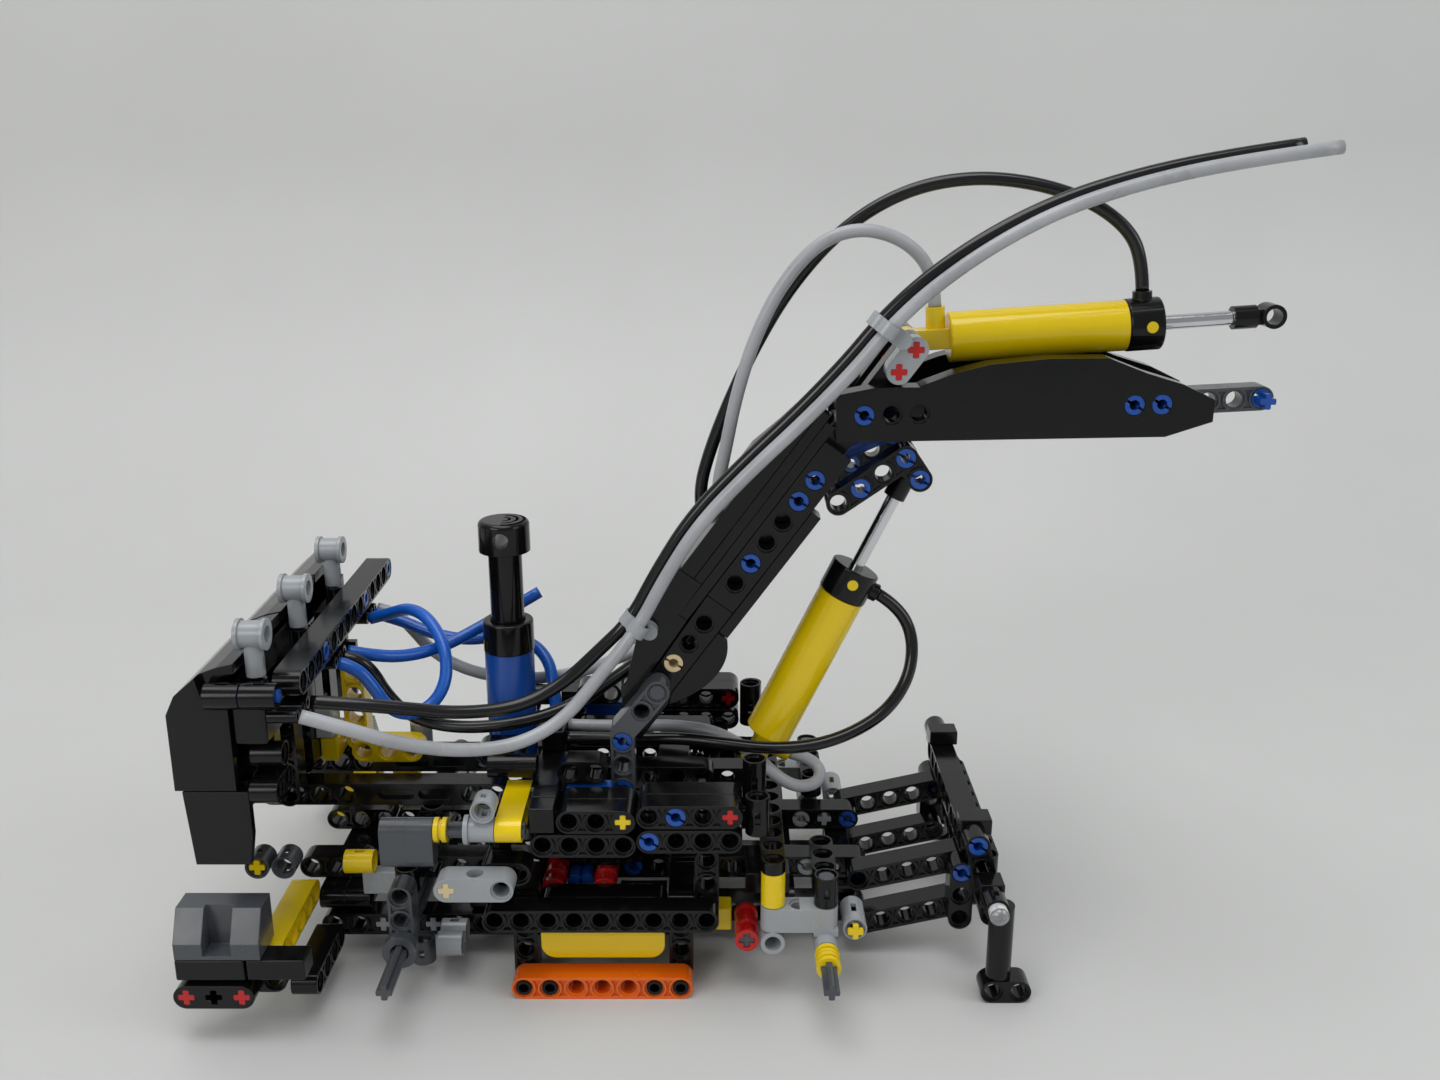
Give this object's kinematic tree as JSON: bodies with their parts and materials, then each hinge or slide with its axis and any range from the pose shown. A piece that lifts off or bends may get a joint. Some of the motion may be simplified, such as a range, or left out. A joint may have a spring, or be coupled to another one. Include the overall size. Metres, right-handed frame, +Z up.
{
  "type": "hydraulic arm kit",
  "caption": "Partly built pegged-beam digger kit with a two-part lifting arm, air cylinders, hand pump, valve levers, loose hoses, bare axle stubs and a front blade.",
  "frame": {"origin": "centre of the footprint at the level of the feet, free hoses left out", "axes": "+X from the tail towards the arm's tip, +Y away from the crank side, +Z up"},
  "size_m": [0.3325, 0.152, 0.2532],
  "materials": {
    "black": "glossy moulded black",
    "dark_grey": "glossy moulded dark grey",
    "light_grey": "glossy moulded light grey",
    "yellow": "glossy moulded yellow",
    "blue": "glossy moulded blue",
    "red": "glossy moulded red",
    "orange": "glossy moulded orange",
    "clear": "clear moulded",
    "chrome": "polished steel",
    "hose_grey": "soft matt light grey",
    "hose_black": "soft matt black",
    "hose_blue": "soft matt blue"
  },
  "bodies": {
    "chassis": {"chassis_frame": "black", "step_frame": "black", "step_rails": "orange", "chassis_yellow": "yellow", "chassis_bushes": "red", "chassis_light": "light_grey", "hub_blocks": "dark_grey", "chassis_pins": "blue", "turntable_base": "black"},
    "rear_axle_body": {"rear_axle": "dark_grey"},
    "steer_near": {"steer_arm_near": "light_grey"},
    "steer_far": {"steer_arm_far": "light_grey"},
    "stub_axle_near": {"stub_near": "yellow"},
    "stub_axle_far": {"stub_far": "yellow"},
    "tie_rod_body": {"tie_rod": "yellow"},
    "outrigger_near": {"outrigger_arm_near": "yellow", "outrigger_foot_near": "black", "outrigger_slope_near": "dark_grey"},
    "outrigger_far": {"outrigger_arm_far": "yellow", "outrigger_foot_far": "black", "outrigger_slope_far": "dark_grey"},
    "blade_upper": {"blade_upper_arms": "black"},
    "blade_lower": {"blade_lower_arms": "black"},
    "blade": {"blade_frame": "black", "blade_pins": "blue", "blade_lamps": "clear"},
    "deck": {"deck_frame": "black", "tail_frame": "black", "lever_beam": "black", "tail_panels": "black", "boom_mounts": "dark_grey", "deck_pins": "blue", "deck_axles": "red", "deck_yellow": "yellow", "deck_light": "light_grey", "pump_body": "blue", "hoses_lift": "hose_black", "hose_free_blue": "hose_blue", "hoses_deck": "hose_black"},
    "plunger": {"pump_plunger": "black"},
    "lever_near": {"valve_lever_near": "light_grey"},
    "lever_middle": {"valve_lever_middle": "light_grey"},
    "lever_far": {"valve_lever_far": "light_grey"},
    "crank": {"crank_knob": "dark_grey", "crank_axle": "dark_grey"},
    "boom": {"boom_bricks": "black", "boom_plates": "black", "boom_core": "black", "boom_panels": "black", "knee_brackets": "black", "boom_tip": "dark_grey", "boom_pins": "blue", "boom_clips": "light_grey", "hose_long_grey": "hose_grey", "hose_long_black": "hose_black", "hoses_stick": "hose_black"},
    "lift_cylinder": {"lift_barrel": "yellow"},
    "lift_piston": {"lift_rod": "chrome"},
    "stick_cylinder": {"stick_barrel": "yellow"},
    "stick_piston": {"stick_rod": "chrome"}
  },
  "joints": [
    {"name": "slew", "type": "hinge", "parent": "chassis", "child": "deck", "pos_m": [-0.0416, 0, 0.0395], "axis": [0, 0, 1], "range_deg": [-110, 110]},
    {"name": "boom_lift", "type": "hinge", "parent": "deck", "child": "boom", "pos_m": [-0.02465, 0, 0.09104], "axis": [0, 1, 0], "range_deg": [-10, 10], "deforming": ["hose_long_grey", "hose_long_black", "hoses_deck", "hoses_lift"]},
    {"name": "lift_cylinder_pivot", "type": "hinge", "parent": "deck", "child": "lift_cylinder", "pos_m": [0.0048, 0, 0.0544], "axis": [0, 1, 0], "range_deg": [-9, 9], "deforming": ["hoses_lift"]},
    {"name": "lift_piston_slide", "type": "slide", "parent": "lift_cylinder", "child": "lift_piston", "axis": [0.4344, 0, 0.9007], "range_m": [-0.009, 0.009]},
    {"name": "stick_cylinder_pivot", "type": "hinge", "parent": "boom", "child": "stick_cylinder", "pos_m": [0.05095, 0, 0.19433], "axis": [0, 1, 0], "range_deg": [-25, 3], "deforming": ["hoses_stick"]},
    {"name": "stick_piston_slide", "type": "slide", "parent": "stick_cylinder", "child": "stick_piston", "axis": [0.9977, 0, 0.068], "range_m": [-0.016, 0.022]},
    {"name": "pump_stroke", "type": "slide", "parent": "deck", "child": "plunger", "axis": [0, 0, -1], "range_m": [0, 0.02], "stiffness_N_per_m": 120},
    {"name": "valve_lever_near", "type": "hinge", "parent": "deck", "child": "lever_near", "pos_m": [-0.1356, -0.0565, 0.1049], "axis": [1, 0, 0], "range_deg": [-20, 20]},
    {"name": "valve_lever_middle", "type": "hinge", "parent": "deck", "child": "lever_middle", "pos_m": [-0.1356, -0.0165, 0.1049], "axis": [1, 0, 0], "range_deg": [-20, 20]},
    {"name": "valve_lever_far", "type": "hinge", "parent": "deck", "child": "lever_far", "pos_m": [-0.1356, 0.0235, 0.1049], "axis": [1, 0, 0], "range_deg": [-20, 20]},
    {"name": "crank_turn", "type": "hinge", "parent": "deck", "child": "crank", "pos_m": [-0.1006, -0.052, 0.0579], "axis": [1, 0, 0], "continuous": true},
    {"name": "rear_axle_turn", "type": "hinge", "parent": "chassis", "child": "rear_axle_body", "pos_m": [-0.1016, 0, 0.0189], "axis": [0, 1, 0], "continuous": true},
    {"name": "steer", "type": "hinge", "parent": "chassis", "child": "steer_near", "pos_m": [0.0264, -0.048, 0.0269], "axis": [0, 0, 1], "range_deg": [-12, 12]},
    {"name": "steer_follow", "type": "hinge", "parent": "chassis", "child": "steer_far", "pos_m": [0.0264, 0.048, 0.0269], "axis": [0, 0, 1], "range_deg": [-12, 12]},
    {"name": "tie_rod_pivot", "type": "hinge", "parent": "steer_near", "child": "tie_rod_body", "pos_m": [0.0104, -0.048, 0.0439], "axis": [0, 0, 1], "range_deg": [-12, 12]},
    {"name": "wheel_near", "type": "hinge", "parent": "steer_near", "child": "stub_axle_near", "pos_m": [0.0264, -0.058, 0.0189], "axis": [0, 1, 0], "continuous": true},
    {"name": "wheel_far", "type": "hinge", "parent": "steer_far", "child": "stub_axle_far", "pos_m": [0.0264, 0.058, 0.0189], "axis": [0, 1, 0], "continuous": true},
    {"name": "blade_lift", "type": "hinge", "parent": "chassis", "child": "blade_upper", "pos_m": [0.0384, 0, 0.0269], "axis": [0, 1, 0], "range_deg": [-20, 0]},
    {"name": "blade_lower_pivot", "type": "hinge", "parent": "chassis", "child": "blade_lower", "pos_m": [0.0384, 0, 0.0109], "axis": [0, 1, 0], "range_deg": [-20, 0]},
    {"name": "blade_level", "type": "hinge", "parent": "blade_upper", "child": "blade", "pos_m": [0.06958, 0, 0.0341], "axis": [0, 1, 0], "range_deg": [0, 20]},
    {"name": "outrigger_near_fold", "type": "hinge", "parent": "chassis", "child": "outrigger_near", "pos_m": [-0.1378, -0.028, 0.0229], "axis": [1, 0, 0], "range_deg": [-14, 14]},
    {"name": "outrigger_far_fold", "type": "hinge", "parent": "chassis", "child": "outrigger_far", "pos_m": [-0.1378, 0.028, 0.0229], "axis": [1, 0, 0], "range_deg": [-14, 14]}
  ],
  "couplings": [
    {"joint": "lift_cylinder_pivot", "follows": "boom_lift", "ratio": 0.8223},
    {"joint": "lift_piston_slide", "follows": "boom_lift", "m_per_rad": -0.04232},
    {"joint": "steer_follow", "follows": "steer", "ratio": 1},
    {"joint": "tie_rod_pivot", "follows": "steer", "ratio": -1},
    {"joint": "blade_lower_pivot", "follows": "blade_lift", "ratio": 1},
    {"joint": "blade_level", "follows": "blade_lift", "ratio": -1}
  ]
}
